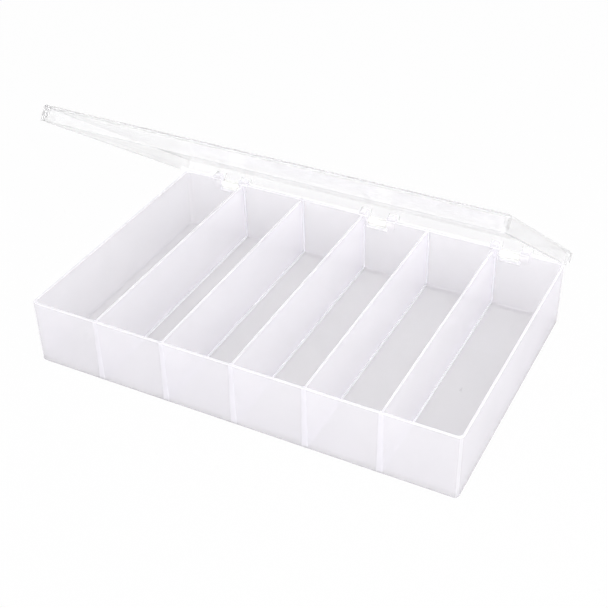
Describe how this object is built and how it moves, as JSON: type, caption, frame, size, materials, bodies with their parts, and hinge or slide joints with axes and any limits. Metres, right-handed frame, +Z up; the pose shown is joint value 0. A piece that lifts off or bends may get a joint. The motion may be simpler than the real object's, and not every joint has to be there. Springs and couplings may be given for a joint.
{
  "type": "compartment storage box",
  "caption": "Shallow tray of long side-by-side compartments under a hinged clear lid, for keeping craft supplies and small parts sorted.",
  "frame": {"origin": "centre of the tray's flat underside, on the surface that the box stands on", "axes": "+X along the box's length, to the right seen from the front; +Y from the front to the hinged back; +Z up"},
  "size_m": [0.279, 0.186, 0.1559],
  "materials": {
    "tray_plastic": "milky translucent, natural polypropylene, fine satin",
    "lid_plastic": "water-clear, polished",
    "pin_plastic": "clear with a faint warm tint"
  },
  "bodies": {
    "tray_body": {"tray": "tray_plastic", "divider_1": "tray_plastic", "divider_2": "tray_plastic", "divider_3": "tray_plastic", "divider_4": "tray_plastic", "divider_5": "tray_plastic"},
    "lid_body": {"lid": "lid_plastic", "hinge_pin_left": "pin_plastic", "hinge_pin_centre": "pin_plastic", "hinge_pin_right": "pin_plastic"}
  },
  "joints": [
    {"name": "lid_hinge", "type": "hinge", "parent": "tray_body", "child": "lid_body", "pos_m": [0, 0.0894, 0.0398], "axis": [-1, 0, 0], "range_deg": [-36.6, 113.4]}
  ]
}
